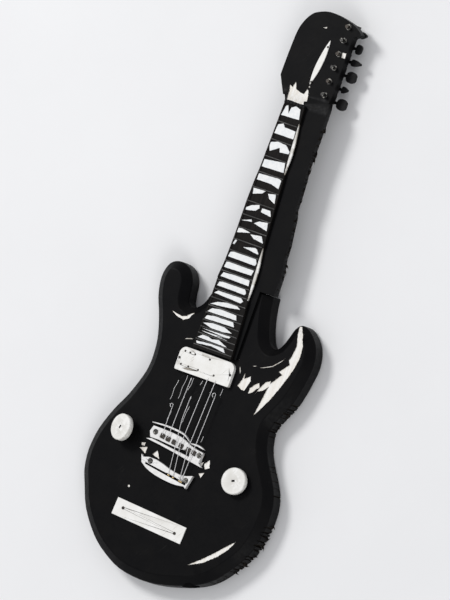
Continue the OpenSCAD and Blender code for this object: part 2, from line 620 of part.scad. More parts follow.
module tailpiece_studs() {
    color(steel) place_tail() for (p = stud_at) translate([p[0], p[1], 0]) stud(bridge_top);
}

// Strings: [tail x or undef, saddle index, end x, end y, end height]
long_strings = [[19, 3, 16.5, pickup_y - pickup_w / 2 + 4], [33, 4, 32, pickup_y - pickup_w / 2 + 4]];
short_strings = [[undef, 0, -29, 60], [undef, 1, -13, 112], [9, 2, -2, 82], [36.5, 5, 42, 100]];
function saddle_top(i) = [each slanted([strings_x[i], saddle_y + 1.5], bridge_at), saddle_z + 0.3];
function tail_start(x) = [each slanted([x, tail_slot_y + 1.3], tail_at), bridge_top + string_r + seat];
module string_run(s, end_z) {
    tube(concat(s[0] == undef ? [] : [tail_start(s[0])], [saddle_top(s[1]), [s[2], s[3], end_z]]),
        string_r);
}
module strings() {
    color(steel) for (s = long_strings) string_run(s, pickup_top + string_r + seat);
}
module broken_strings() {
    color(steel) for (s = short_strings) string_run(s, saddle_z + 0.3);
}
module ball_ends() {
    color("#8a6d3b") place_tail() for (s = concat(long_strings, [short_strings[2], short_strings[3]]))
        translate([s[0] - 1.8, tail_slot_y, bridge_top + 0.3 - ball_r]) rotate([0, 90, 0]) difference() {
            cylinder(h = 3.6, r = ball_r);
            translate([0, 0, -1]) cylinder(h = 6, r = 0.6);
        }
}

// Controls
module knob() {
    difference() {
        union() {
            cylinder(h = knob_h - 1.2, r = knob_d / 2);
            translate([0, 0, knob_h - 1.21]) cylinder(h = 1.2, r1 = knob_d / 2, r2 = knob_d / 2 - 1.5);
        }
        translate([0, 0, -1]) cylinder(h = knob_h - 1.5, r = shaft_r + seat);
        translate([-3, -1.7, knob_h - 1]) cube([6, 3.4, 2]);
    }
}
nut_top = face_z + 2.6;
knob_lift = 4.5;
module volume_knob() {
    color(pale) translate([vol_at[0], vol_at[1], face_z + knob_lift]) rotate(20) knob();
}
module pot_case(at) {
    translate([at[0], at[1], 0]) difference() {
        union() {
            translate([0, 0, cavity_top - 10]) cylinder(h = 10 - seat, r = pot_r);
            translate([0, 0, cavity_top - 1]) cylinder(h = nut_top + 0.8 - cavity_top + 1, r = 4.7);
            translate([-6, -pot_r - 4, cavity_top - 9]) cube([12, 8, 1.5]);
        }
        translate([0, 0, cavity_top - 9]) cylinder(h = 40, r = shaft_r + slip);
    }
}
module volume_pot_case() { color(steel) pot_case(vol_at); }
module tone_pot_case() { color(steel) pot_case(tone_at); }
shaft_z0 = cavity_top - 8.9;
module volume_shaft() {
    color(steel) translate([vol_at[0], vol_at[1], shaft_z0])
        cylinder(h = face_z + knob_lift + knob_h - 2.6 - shaft_z0, r = shaft_r);
}
bend_z = nut_top + 1.6 + shaft_r;
bend_lift = knob_d / 2 * sin(knob_bend) + 2;
elbow_swell = 0.4;
module tone_shaft() {
    color(steel) translate([tone_at[0], tone_at[1], 0]) {
        translate([0, 0, shaft_z0]) cylinder(h = bend_z - shaft_z0, r = shaft_r);
        translate([0, 0, bend_z]) sphere(shaft_r + elbow_swell);
        translate([0, 0, bend_z]) rotate([0, -knob_bend, 0])
            cylinder(h = bend_lift - 2 + knob_h - 2.6, r = shaft_r);
    }
}
module tone_knob() {
    color(pale) translate([tone_at[0], tone_at[1], bend_z]) rotate([0, -knob_bend, 0])
        translate([0, 0, bend_lift - 2]) rotate(70) knob();
}
module pot_nuts() {
    color(steel) for (p = [vol_at, tone_at]) translate([p[0], p[1], face_z + seat]) difference() {
        union() {
            cylinder(h = 0.6, r = 8);
            translate([0, 0, 0.6]) cylinder(h = nut_top - face_z - 0.6, r = 6.6, $fn = 6);
        }
        translate([0, 0, -1]) cylinder(h = 6, r = 4.7 + seat);
    }
}
module rear_cover() {
    color("#1d1d1f") translate([0, 0, cover_z]) difference() {
        linear_extrude(cover_t - seat) duct_shape(30 - 0.6, cavity_r + 8.7);
        for (p = cover_holes) translate([p[0], p[1], -1]) {
            cylinder(h = 5, r = 1.5);
            cylinder(h = 1.9, r = 2.7);
        }
    }
}
module rear_cover_screws() {
    color(steel) for (p = cover_holes) translate([p[0], p[1], cover_z + 0.9 - seat])
        rotate([180, 0, 0]) difference() {
        screw(1.15, 11, 2.5, 0.85);
        cross_slot(2.5, 0.85, 0.5);
    }
}
module face_plate() {
    color(pale) translate([plate_at[0], plate_at[1], face_z + seat]) rotate(plate_turn) difference() {
        translate([-plate_len / 2, -plate_w / 2, 0]) cube([plate_len, plate_w, 2.2]);
        for (p = plate_screws) translate([p[0], p[1], -1]) cylinder(h = 5, r = 1.6);
    }
}
module small_screw() {
    difference() {
        screw(1.25, 9, 2.6, 1.3);
        cross_slot(2.6, 1.3, 0.7);
    }
}
module face_plate_screws() {
    color(dark_steel) {
        translate([plate_at[0], plate_at[1], face_z + 2.2 + 2 * seat]) rotate(plate_turn)
            for (p = plate_screws) translate([p[0], p[1], 0]) small_screw();
    }
}

// Output socket in the lower edge, its axis along -Y
module at_jack() { translate(jack_at) rotate([90, 0, 0]) children(); }
module jack_plate() {
    color(dark_steel) at_jack() difference() {
        translate([0, 0, seat]) cylinder(h = 1.6, r = 14.4);
        translate([0, 0, -1]) cylinder(h = 4, r = 4.6);
        for (s = [-1, 1]) translate([s * 11.5, 0, -1]) cylinder(h = 4, r = 1.2);
    }
}
socket_len = 24;
module jack_socket() {
    color(steel) at_jack() difference() {
        union() {
            translate([0, 0, -socket_len + 3.2]) cylinder(h = socket_len, r = 4.5);
            translate([0, 0, -3]) cylinder(h = 3, r = 7.5);
            translate([0, 0, 1.6 + 2 * seat]) cylinder(h = 1.4, r = 6.5, $fn = 6);
        }
        translate([0, 0, -socket_len]) cylinder(h = socket_len + 10, r = jack_r);
    }
}
module jack_contact() {
    color("#8a6d3b") at_jack() {
        translate([-2, 4.5 + seat, -socket_len - 6]) cube([4, 0.8, 16]);
        translate([-2, 1.5, -socket_len - 6]) cube([4, 3.1, 0.8]);
    }
}
// Leads inside the body: pickup to volume control, control to socket, control to control
lead_r = 1.2;
pot_base = cavity_top - 10 - lead_r - seat;
module wiring() {
    color("#2c2c30") {
        tube([[pickup_x + 44, pickup_y - 12, pickup_floor + 4], [vol_at[0] - 10, vol_at[1] + 21, 20.5],
            [vol_at[0] - 5, vol_at[1] + 12, 21], [vol_at[0] - 3, vol_at[1] + 8, pot_base]], lead_r);
        tube([[jack_at[0], jack_at[1] + 31, jack_at[2] + 3],
            [jack_at[0] + 3, jack_at[1] + 40, jack_at[2] + 0.5], [jack_at[0] + 6, jack_at[1] + 60, 21],
            [vol_at[0] - 2, vol_at[1] - 24, 20.5], [vol_at[0] - 1, vol_at[1] - 14, 21],
            [vol_at[0] - 1, vol_at[1] - 8, pot_base]], lead_r);
        tube([[tone_at[0], tone_at[1] - 5, pot_base], [tone_at[0], tone_at[1] - 10, 14], [each duct[0], 8],
            [each duct[1], 7], [each duct[2], 7], [each duct[3], 8], [vol_at[0] + 4, vol_at[1] - 10, 14],
            [vol_at[0] + 4, vol_at[1] - 7, pot_base]], lead_r);
    }
}
module capacitor() {
    color("#b0682c") translate([vol_at[0] + 5, vol_at[1] + 4, cavity_top - 10 - 5 - seat])
        cylinder(h = 5, r = 3.5);
}

// Tuners: a sealed housing under the headstock holds a worm shaft and a geared post
working = [0, 2, 4];
seized = [1, 3, 5];
housing_top = head_back_z - seat;
module tuner_housings() {
    color(steel) for (i = [0:5]) translate([tuner_x, tuner_y(i), 0]) difference() {
        union() {
            translate([-7, -key_drop - 4, housing_top - housing_t]) cube([16, key_drop + 11, housing_t]);
            translate([-15, -6, housing_top - 1.6]) cube([9, 6, 1.6]);
        }
        translate([0, 0, key_z - 2.2]) cylinder(h = 4.4, r = gear_r + 0.3);
        translate([0, 0, housing_top - housing_t - 1]) cylinder(h = 20, r = tuner_post_r + slip);
        translate([-5.5, -key_drop, key_z]) rotate([0, 90, 0]) cylinder(h = 20, r = worm_r + slip);
        translate([-5.5, -key_drop - 2.4, key_z - 2.2]) cube([11, 4.8, 4.4]);
        translate([-12, -3, housing_top - 5]) cylinder(h = 10, r = 1.05);
    }
}
module tuner_bushings() {
    color(steel) for (i = [0:5]) translate([tuner_x, tuner_y(i), head_z]) difference() {
        union() {
            translate([0, 0, seat]) cylinder(h = 1.6, r = 5);
            translate([0, 0, -6]) cylinder(h = 7, r = tuner_post_r + 1.85);
        }
        translate([0, 0, -7]) cylinder(h = 12, r = tuner_post_r + slip);
    }
}
module tuner_screws() {
    color(steel) for (i = [0:5]) translate([tuner_x - 12, tuner_y(i) - 3, housing_top - 1.6 - seat])
        rotate([180, 0, 0]) difference() {
            screw(0.95, 8, 1.8, 1);
            cross_slot(1.8, 1, 0.5);
        }
}
module tuner_post(i, top) {
    translate([tuner_x, tuner_y(i), 0]) difference() {
        union() {
            translate([0, 0, housing_top - housing_t + 0.5])
                cylinder(h = top - housing_top + housing_t - 0.5, r = tuner_post_r);
            translate([0, 0, key_z - 1.6]) linear_extrude(3.2) polygon([for (k = [0:27])
                (k % 2 == 0 ? gear_r : gear_r - 0.7) * [cos(k * 360 / 28), sin(k * 360 / 28)]]);
        }
        translate([0, 0, top - 3]) rotate([90, 0, 30]) cylinder(h = 12, r = 0.9, center = true);
    }
}
// Shaft with its button: span is the button's length, taper its end width as a share
module tuner_key(i, span, taper) {
    translate([tuner_x, tuner_y(i) - key_drop, key_z]) {
        translate([-5, 0, 0]) rotate([0, 90, 0]) cylinder(h = 22, r = worm_r);
        translate([0, 0, 0]) rotate([0, 90, 0]) translate([0, 0, 10.5]) cylinder(h = 5.5, r = 2.6);
        translate([16, 0, -3]) linear_extrude(6) polygon(concat([[0, 2.2]],
            [for (a = [0:15:180]) [span * 0.5 - span * 0.5 * cos(a), 3 + (7 * (1 - 0.3 * taper)) * sin(a)
                * (1 - taper * (1 - cos(a)) / 2)]],
            [for (a = [180:-15:0]) [span * 0.5 - span * 0.5 * cos(a), -3 * (1 - taper * (1 - cos(a)) / 2)
                - (7 * (1 - 0.3 * taper)) * sin(a) * (1 - taper * (1 - cos(a)) / 2)]], [[0, -2.2]]));
    }
}
post_top = head_z + 11;
module tuner_post_1() { color(steel) tuner_post(working[0], post_top); }
module tuner_post_3() { color(steel) tuner_post(working[1], post_top); }
module tuner_post_5() { color(steel) tuner_post(working[2], post_top); }
module tuner_key_1() { color("#17171a") tuner_key(working[0], button_len, 0); }
module tuner_key_3() { color("#17171a") tuner_key(working[1], button_len, 0); }
module tuner_key_5() { color("#17171a") tuner_key(working[2], button_len * 0.6, 0.2); }
module seized_posts() { color(dark_steel) for (i = seized) tuner_post(i, post_top - 2); }
module seized_keys() { color("#17171a") for (i = seized) tuner_key(i, button_len * (i == 3 ? 1 : 0.6),
    0.9); }

body();
neck();
fretboard();
fret_inlays();
frets();
binding_strips();
nut();
truss_rod();
truss_rod_nut();
truss_cover();
truss_cover_screws();
neck_screws();
neck_ferrules();
pickup_cover();
pickup_bobbins();
pickup_coils();
pickup_magnet();
pickup_baseplate();
pole_screws();
pickup_screws();
bridge_base();
bridge_rest_bar();
bridge_saddles();
saddle_screws();
bridge_posts();
post_inserts();
tailpiece();
tailpiece_studs();
stud_inserts();
strings();
broken_strings();
ball_ends();
volume_knob();
volume_shaft();
volume_pot_case();
tone_knob();
tone_shaft();
tone_pot_case();
pot_nuts();
rear_cover();
rear_cover_screws();
face_plate();
face_plate_screws();
jack_socket();
jack_plate();
jack_contact();
wiring();
capacitor();
tuner_housings();
tuner_bushings();
tuner_screws();
tuner_post_1();
tuner_key_1();
tuner_post_3();
tuner_key_3();
tuner_post_5();
tuner_key_5();
seized_posts();
seized_keys();
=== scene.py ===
"""Looks of a broken electric guitar lying on its back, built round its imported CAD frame."""
import json
import math
import random

import bmesh
import bpy
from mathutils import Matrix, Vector, noise
from mathutils.bvhtree import BVHTree
from mathutils.geometry import delaunay_2d_cdt


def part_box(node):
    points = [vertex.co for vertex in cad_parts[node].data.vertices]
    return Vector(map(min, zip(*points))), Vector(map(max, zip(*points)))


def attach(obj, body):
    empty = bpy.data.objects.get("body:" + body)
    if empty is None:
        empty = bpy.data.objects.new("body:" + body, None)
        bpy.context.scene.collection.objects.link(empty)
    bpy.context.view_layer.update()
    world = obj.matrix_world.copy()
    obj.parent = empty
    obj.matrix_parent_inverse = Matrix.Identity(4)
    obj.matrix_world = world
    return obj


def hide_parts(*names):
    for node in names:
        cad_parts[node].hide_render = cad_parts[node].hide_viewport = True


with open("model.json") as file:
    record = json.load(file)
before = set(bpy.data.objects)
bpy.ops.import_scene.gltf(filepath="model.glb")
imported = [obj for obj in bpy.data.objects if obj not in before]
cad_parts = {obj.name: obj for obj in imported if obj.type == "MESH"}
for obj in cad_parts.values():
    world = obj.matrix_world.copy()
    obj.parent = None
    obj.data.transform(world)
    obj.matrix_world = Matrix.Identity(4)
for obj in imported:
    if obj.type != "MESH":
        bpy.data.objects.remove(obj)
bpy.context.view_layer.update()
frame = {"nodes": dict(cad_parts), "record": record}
nodes = frame["nodes"]
scene = bpy.context.scene
scene.view_settings.view_transform = "Standard"
MM = 0.001
X, Y, Z = Vector((1, 0, 0)), Vector((0, 1, 0)), Vector((0, 0, 1))

# ---- Camera: swung to the treble side of the face, the guitar leaning to the right ----
SWING = math.radians(28)
LEAN = math.radians(19.5)
VIEW_HEIGHT = 1.02
LENS = 900
SENSOR = 36
AIM = Vector((-0.0076, 0.2585, 0.045))

camera_data = bpy.data.cameras.new("camera")
camera_data.lens = LENS
camera_data.sensor_width = SENSOR
camera = bpy.data.objects.new("camera", camera_data)
scene.collection.objects.link(camera)
scene.camera = camera
back = Vector((math.sin(SWING), 0, math.cos(SWING)))
side = Vector((math.cos(SWING), 0, -math.sin(SWING)))
right = Y * math.sin(LEAN) + side * math.cos(LEAN)
up = Y * math.cos(LEAN) - side * math.sin(LEAN)
camera.matrix_world.col[0] = (*right, 0)
camera.matrix_world.col[1] = (*up, 0)
camera.matrix_world.col[2] = (*back, 0)
camera.matrix_world.col[3] = (*(AIM + back * LENS / SENSOR * VIEW_HEIGHT), 1)

# ---- Light and floor ----
FLOOR_COLOUR = (0.84, 0.84, 0.84)
SKY_COLOUR = (0.95, 0.96, 1, 1)
SKY_STRENGTH = 0.55
world = bpy.data.worlds.new("studio")
world.use_nodes = True
sky = world.node_tree.nodes["Background"]
sky.inputs["Color"].default_value = SKY_COLOUR
sky.inputs["Strength"].default_value = SKY_STRENGTH
scene.world = world


def softbox(name, place, size, power):
    """A round soft lamp that faces the middle of the guitar."""
    data = bpy.data.lights.new(name, "AREA")
    data.shape = "DISK"
    data.size = size
    data.energy = power
    lamp = bpy.data.objects.new(name, data)
    lamp.location = place
    lamp.rotation_mode = "QUATERNION"
    lamp.rotation_quaternion = (Vector(place) - AIM).to_track_quat("Z", "Y")
    scene.collection.objects.link(lamp)


softbox("key", place=(-3.4, 2.6, 4.8), size=2.0, power=200)
softbox("fill", place=(3.8, -3.2, 4.0), size=3.0, power=90)


# ---- Materials ----
def add(tree, kind, **inputs):
    node = tree.nodes.new(kind)
    for name, value in inputs.items():
        node.inputs[name.replace("_", " ")].default_value = value
    return node


def noise_field(tree, space, stretch, size_mm, detail=4.0):
    """Noise whose features are size_mm across, drawn out along the axes where stretch is small."""
    mapping = add(tree, "ShaderNodeMapping", Scale=[s / (size_mm * MM) for s in stretch])
    field = add(tree, "ShaderNodeTexNoise", Scale=1.0, Detail=detail, Roughness=0.6)
    tree.links.new(space, mapping.inputs["Vector"])
    tree.links.new(mapping.outputs["Vector"], field.inputs["Vector"])
    return field.outputs["Fac"]


def remap(tree, value, low, high, out_low=0, out_high=1):
    """Stretches a value from one range to another, and clips it there."""
    node = tree.nodes.new("ShaderNodeMapRange")
    tree.links.new(value, node.inputs["Value"])
    ends = {"From Min": low, "From Max": high, "To Min": out_low, "To Max": out_high}
    for name, number in ends.items():
        node.inputs[name].default_value = number
    return node.outputs["Result"]


def multiply(tree, a, b):
    node = tree.nodes.new("ShaderNodeMath")
    node.operation = "MULTIPLY"
    tree.links.new(a, node.inputs[0])
    tree.links.new(b, node.inputs[1])
    return node.outputs[0]


def blend_colour(tree, share, a, b):
    """Mixes two colours, each a tuple or a socket, by share."""
    mix = tree.nodes.new("ShaderNodeMix")
    mix.data_type = "RGBA"
    tree.links.new(share, mix.inputs["Factor"])
    for socket, colour in ((mix.inputs[6], a), (mix.inputs[7], b)):
        if isinstance(colour, tuple):
            socket.default_value = (*colour, 1)
        else:
            tree.links.new(colour, socket)
    return mix.outputs[2]


EVEN = (1, 1, 1)
ALONG = (1, 0.06, 1)      # wood grain runs up the neck
HAIRLINE = (1, 0.02, 1)
SCRATCH_TURN = (0, 0, 0.6)
SCRATCH_MM = 0.9
SCRATCH_PATCH_MM = 60
BUMP_DEPTH = 0.4 * MM


def surface(name, base, tone, rough, metal=0.0, gloss=0.5, stretch=EVEN, size=4.0, bump=0.15,
            worn=None, wear_share=0.35, scratch=None, scratch_share=0.3):
    """A finish: two tones in a drawn-out grain, with roughness and bump from it, worn edges and scratches."""
    mat = bpy.data.materials.new(name)
    mat.use_nodes = True
    tree = mat.node_tree
    shader = tree.nodes["Principled BSDF"]
    shader.inputs["Metallic"].default_value = metal
    shader.inputs["Specular IOR Level"].default_value = gloss
    space = tree.nodes.new("ShaderNodeTexCoord").outputs["Object"]
    grain = noise_field(tree, space, stretch, size)
    fine = noise_field(tree, space, stretch, size / 7)
    colour = blend_colour(tree, remap(tree, grain, 0.35, 0.65), base, tone)
    if worn:
        edges = tree.nodes.new("ShaderNodeNewGeometry").outputs["Pointiness"]
        rubbed = remap(tree, edges, 0.53, 0.60)
        least = 0.62 - wear_share / 2
        patchy = remap(tree, grain, least, least + 0.04)
        colour = blend_colour(tree, multiply(tree, rubbed, patchy), colour, worn)
    if scratch:
        turned = add(tree, "ShaderNodeMapping", Rotation=SCRATCH_TURN)
        tree.links.new(space, turned.inputs["Vector"])
        hair = remap(tree, noise_field(tree, turned.outputs["Vector"], HAIRLINE, SCRATCH_MM, 2.0), 0.66, 0.70)
        least = 0.62 - scratch_share / 2
        patch = remap(tree, noise_field(tree, space, EVEN, SCRATCH_PATCH_MM, 2.0), least, least + 0.10)
        colour = blend_colour(tree, multiply(tree, hair, patch), colour, scratch)
    tree.links.new(colour, shader.inputs["Base Color"])
    roughness = remap(tree, fine, 0.3, 0.7, max(rough - 0.08, 0.03), min(rough + 0.12, 1))
    tree.links.new(roughness, shader.inputs["Roughness"])
    relief = add(tree, "ShaderNodeBump", Strength=bump, Distance=BUMP_DEPTH)
    tree.links.new(fine, relief.inputs["Height"])
    tree.links.new(relief.outputs["Normal"], shader.inputs["Normal"])
    return mat


finish = {
    "black_lacquer": surface("black_lacquer", (0.0025, 0.0025, 0.003), (0.004, 0.0038, 0.004), 0.42,
                             gloss=0.07, size=40, bump=0.03, scratch=(0.02, 0.019, 0.018), scratch_share=0.1),
    "ebony": surface("ebony", (0.003, 0.0027, 0.0025), (0.010, 0.008, 0.007), 0.6,
                     gloss=0.12, stretch=ALONG, size=2.5, bump=0.4),
    "pearl": surface("pearl", (0.88, 0.88, 0.86), (0.76, 0.78, 0.79), 0.3,
                     size=6, bump=0.08, scratch=(0.45, 0.43, 0.4), scratch_share=0.2),
    "ivory_plastic": surface("ivory_plastic", (0.88, 0.87, 0.84), (0.80, 0.785, 0.74), 0.38,
                             size=18, bump=0.08, worn=(0.30, 0.27, 0.22), scratch=(0.42, 0.39, 0.34)),
    "pale_metal": surface("pale_metal", (0.86, 0.855, 0.84), (0.74, 0.73, 0.71), 0.42,
                          size=7, bump=0.25, worn=(0.12, 0.11, 0.10), wear_share=0.45,
                          scratch=(0.2, 0.19, 0.18)),
    "fret_metal": surface("fret_metal", (0.035, 0.034, 0.033), (0.09, 0.088, 0.085), 0.45,
                          metal=0.8, stretch=(0.05, 1, 1), size=1.5, bump=0.2),
    "black_plastic": surface("black_plastic", (0.003, 0.003, 0.0035), (0.008, 0.008, 0.0085), 0.45,
                             gloss=0.12, size=8, bump=0.1, scratch=(0.04, 0.04, 0.04), scratch_share=0.15),
    "dark_screws": surface("dark_screws", (0.03, 0.03, 0.032), (0.10, 0.085, 0.07), 0.5,
                           metal=0.9, size=1.2, bump=0.4),
    "brass": surface("brass", (0.50, 0.36, 0.15), (0.30, 0.21, 0.10), 0.4, metal=1.0, size=2, bump=0.2),
    "copper_wire": surface("copper_wire", (0.36, 0.15, 0.07), (0.22, 0.09, 0.05), 0.35,
                           metal=0.8, stretch=(0.05, 1, 1), size=0.4, bump=0.6),
    "string_steel": surface("string_steel", (0.86, 0.86, 0.86), (0.62, 0.61, 0.60), 0.3,
                            metal=0.6, stretch=(0.2, 1, 0.2), size=0.5, bump=0.5),
    "black_rubber": surface("black_rubber", (0.02, 0.02, 0.022), (0.035, 0.034, 0.034), 0.75, size=3, bump=0.2),
    "orange_film": surface("orange_film", (0.55, 0.26, 0.09), (0.40, 0.17, 0.06), 0.45, size=2, bump=0.1),
    "nickel": surface("nickel", (0.045, 0.044, 0.044), (0.02, 0.019, 0.018), 0.4,
                      metal=0.7, size=2.5, bump=0.2, worn=(0.3, 0.29, 0.26), wear_share=0.2),
}
# Bare pale wood: the real wood in chips and cracks, and on the three body crescents also a painted highlight
# along the edge ridges.
bare_wood_and_highlight = surface("bare_wood_and_highlight", (0.92, 0.91, 0.88), (0.80, 0.76, 0.69), 0.8,
                    gloss=0.2, stretch=ALONG, size=3, bump=0.9)
charred = surface("charred_wood", (0.005, 0.0045, 0.004), (0.02, 0.015, 0.011), 0.85,
                  gloss=0.1, stretch=ALONG, size=2, bump=0.9)
floor_paint = surface("floor_paint", FLOOR_COLOUR, (0.825, 0.825, 0.825), 0.9, gloss=0.1, size=300, bump=0.02)

slot_of = {part["node"]: part["material_slot"] for part in frame["record"]["subparts"]}
for name, node in nodes.items():
    node.data.materials.clear()
    node.data.materials.append(finish[slot_of[name]])

FLOOR_SIZE = 9.0
FLOOR_DROP = 0.0002   # keeps the floor clear of the back
bm = bmesh.new()
bmesh.ops.create_grid(bm, x_segments=8, y_segments=8, size=FLOOR_SIZE / 2)
floor_mesh = bpy.data.meshes.new("floor")
bm.to_mesh(floor_mesh)
bm.free()
floor = bpy.data.objects.new("floor", floor_mesh)
floor.location.z = -FLOOR_DROP
floor_mesh.materials.append(floor_paint)
scene.collection.objects.link(floor)


# ---- Helpers for the pieces ----
SKY_Z = 0.3            # a height above everything
CUTTER_TOP = 0.075     # the free air that the chips' cutters reach
GRID_MM = (1.6, 3.2)   # spacing across and along the fibres of a chip's floor
FLAT_ANGLE = math.radians(0.05)
SHARP_ANGLE = 0.35
LEVEL = 0.01 * MM      # how near a corner is to count as at a height


def mesh_of(bm, name, outward=True):
    """The mesh of a finished bmesh, which is freed; outward turns all its faces out."""
    if outward:
        bmesh.ops.recalc_face_normals(bm, faces=bm.faces)
    mesh = bpy.data.meshes.new(name)
    bm.to_mesh(mesh)
    bm.free()
    return mesh


def linked(name, mesh):
    """A new object that shows a mesh."""
    obj = bpy.data.objects.new(name, mesh)
    scene.collection.objects.link(obj)
    return obj


def piece(name, mesh, slot, body="guitar", stands_for=(), material=None, smooth_deg=35):
    """A finished piece from a mesh in the row frame, riding on a body."""
    obj = linked(name, mesh)
    if not mesh.materials:
        mesh.materials.append(material or finish[slot])
    mesh.shade_smooth()
    mesh.set_sharp_from_angle(angle=math.radians(smooth_deg))
    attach(obj, body)
    if stands_for:
        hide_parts(*stands_for)
    return obj


def flatten_shading(obj):
    """Lets broad flat faces keep their own normal beside small rounded ones."""
    modifier = obj.modifiers.new("normals", "WEIGHTED_NORMAL")
    modifier.keep_sharp = True
    modifier.weight = 100


def welded(node):
    """A CAD node as a bmesh with shared corners."""
    bm = bmesh.new()
    bm.from_mesh(nodes[node].data)
    bmesh.ops.remove_doubles(bm, verts=bm.verts, dist=0.002 * MM)
    return bm


def islands(node):
    """The separate solids of a CAD node, each as a list of its corners."""
    bm = welded(node)
    seen, found = set(), []
    for first in bm.verts:
        if first in seen:
            continue
        seen.add(first)
        stack, group = [first], []
        while stack:
            v = stack.pop()
            group.append(v.co.copy())
            for e in v.link_edges:
                o = e.other_vert(v)
                if o not in seen:
                    seen.add(o)
                    stack.append(o)
        found.append(group)
    bm.free()
    return found


def tree_of(node):
    """A CAD node as a tree that rays can be cast at."""
    bm = welded(node)
    tree = BVHTree.FromBMesh(bm)
    bm.free()
    return tree


def top_of(tree, x, y, fallback):
    """Height of the highest surface at a place, or fallback beside it."""
    hit = tree.ray_cast(Vector((x, y, SKY_Z)), -Z)[0]
    return hit.z if hit else fallback


def torn(points, seed, step=2.2, amount=0.55):
    """An outline in millimetres with its runs broken into short uneven steps."""
    rng = random.Random(seed)
    out = []
    for a, b in zip(points, points[1:] + points[:1]):
        a, b = Vector(a), Vector(b)
        count = max(1, round((b - a).length / step))
        normal = Vector((b.y - a.y, a.x - b.x)).normalized() if (b - a).length else Vector((0, 0))
        for k in range(count):
            spread = amount if k else amount * 0.3
            out.append(a.lerp(b, k / count) + normal * rng.uniform(-spread, spread))
    return out


def inside(p, outline):
    """Whether a point lies in a closed outline, by counting crossings."""
    odd = False
    for a, b in zip(outline, outline[1:] + outline[:1]):
        if (a.y > p.y) != (b.y > p.y) and p.x < (b.x - a.x) * (p.y - a.y) / (b.y - a.y) + a.x:
            odd = not odd
    return odd


def chip_cutter(bm, outline, tree, depth, seed, fallback, ragged=0.4):
    """A solid that takes a torn patch off a surface and leaves a fibrous floor, with its top in free air."""
    rim = torn(outline, seed, amount=ragged)
    rng = random.Random(seed + 1)
    low = [min(p[k] for p in rim) for k in (0, 1)]
    high = [max(p[k] for p in rim) for k in (0, 1)]
    grid = []
    for i in range(int((high[0] - low[0]) / GRID_MM[0]) + 1):
        for j in range(int((high[1] - low[1]) / GRID_MM[1]) + 1):
            p = Vector((low[0] + i * GRID_MM[0] + rng.uniform(-0.4, 0.4),
                        low[1] + j * GRID_MM[1] + rng.uniform(-1, 1)))
            if inside(p, rim) and min((p - q).length for q in rim) > 0.9:
                grid.append(p)
    count = len(rim)
    border = [(i, (i + 1) % count) for i in range(count)]
    flat, _, faces = delaunay_2d_cdt(rim + grid, border, [], 1, 1e-6)[:3]
    floor_ring, roof_ring = [], []
    for p in flat:
        x, y = p.x * MM, p.y * MM
        fibre = noise.noise(Vector((p.x * 0.9, p.y * 0.08, seed))) * 0.5 + 0.5
        z = top_of(tree, x, y, fallback) - (depth * (0.55 + 0.6 * fibre)) * MM
        floor_ring.append(bm.verts.new((x, y, z)))
        roof_ring.append(bm.verts.new((x, y, CUTTER_TOP)))
    used = []
    for f in faces:
        bm.faces.new([floor_ring[i] for i in reversed(f)])
        bm.faces.new([roof_ring[i] for i in f])
        used += zip(f, f[1:] + f[:1])
    shared = set(used)
    for a, b in used:
        if (b, a) not in shared:
            bm.faces.new([floor_ring[a], floor_ring[b], roof_ring[b], roof_ring[a]])


def notch_cutter(bm, at, inward, along, width, depth, skew, z0, z1):
    """A leaning wedge that bites a splintered notch into an edge."""
    outer = at - inward * 4 * MM
    ring = []
    for z, grow in ((z0, 1.0), (z1, 0.55)):
        half = along * width * 0.8 * grow
        for q in (outer - half, outer + half, at + inward * depth * grow + along * skew):
            ring.append(bm.verts.new((q.x, q.y, z)))
    bm.faces.new([ring[2], ring[1], ring[0]])
    bm.faces.new(ring[3:])
    for i in range(3):
        j = (i + 1) % 3
        bm.faces.new([ring[i], ring[j], ring[j + 3], ring[i + 3]])


def in_order(name, mesh):
    """The mesh with its corners and faces in an order that is the same on every run, as a boolean's isn't."""
    places = [tuple(v.co) for v in mesh.vertices]
    order = sorted(range(len(places)), key=places.__getitem__)
    rank = {old: new for new, old in enumerate(order)}
    faces = []
    for face in mesh.polygons:
        loop = [rank[i] for i in face.vertices]
        start = loop.index(min(loop))
        faces.append((loop[start:] + loop[:start], face.material_index))
    faces.sort()
    out = bpy.data.meshes.new(name)
    out.from_pydata([places[i] for i in order], [], [loop for loop, _ in faces])
    for mat in mesh.materials:
        out.materials.append(mat)
    out.polygons.foreach_set("material_index", [index for _, index in faces])
    return out


def carved(node, name, cutters, materials, rounded=None, radius=0):
    """A copy of a CAD node with its chosen edges rounded and the cutters taken out of it.

    The first material is the node's own, and the rest belong to the cutters in turn. The cutters are joined
    into one, because a second boolean fails on the few open edges that the first one leaves.
    """
    bm = welded(node)
    bmesh.ops.dissolve_limit(bm, angle_limit=FLAT_ANGLE, verts=bm.verts, edges=bm.edges)
    if rounded:
        sharp = [e for e in bm.edges if len(e.link_faces) == 2 and e.calc_face_angle(0) > SHARP_ANGLE]
        chosen = [e for e in sharp if rounded(e)]
        bmesh.ops.bevel(bm, geom=chosen, offset=radius, offset_type="OFFSET", segments=3, profile=0.5,
                        affect="EDGES", clamp_overlap=False)
    bmesh.ops.triangulate(bm, faces=bm.faces)
    mesh = mesh_of(bm, name, outward=False)
    joined = bmesh.new()
    for index, cutter in enumerate(cutters):
        for face in cutter.faces:
            face.material_index = index
        joined.from_mesh(mesh_of(cutter, "cut"))
    cut_mesh = mesh_of(joined, "cut", outward=False)
    mesh.materials.append(materials[0])
    for mat in materials[1:]:
        cut_mesh.materials.append(mat)
    work, cut = linked("work", mesh), linked("cut", cut_mesh)
    modifier = work.modifiers.new("cut", "BOOLEAN")
    modifier.operation = "DIFFERENCE"
    modifier.solver = "EXACT"
    modifier.use_self = True
    modifier.material_mode = "TRANSFER"
    modifier.object = cut
    bpy.context.view_layer.update()
    result = bpy.data.meshes.new_from_object(work.evaluated_get(bpy.context.evaluated_depsgraph_get()))
    for obj in (cut, work):
        bpy.data.objects.remove(obj)
    return in_order(name, result)


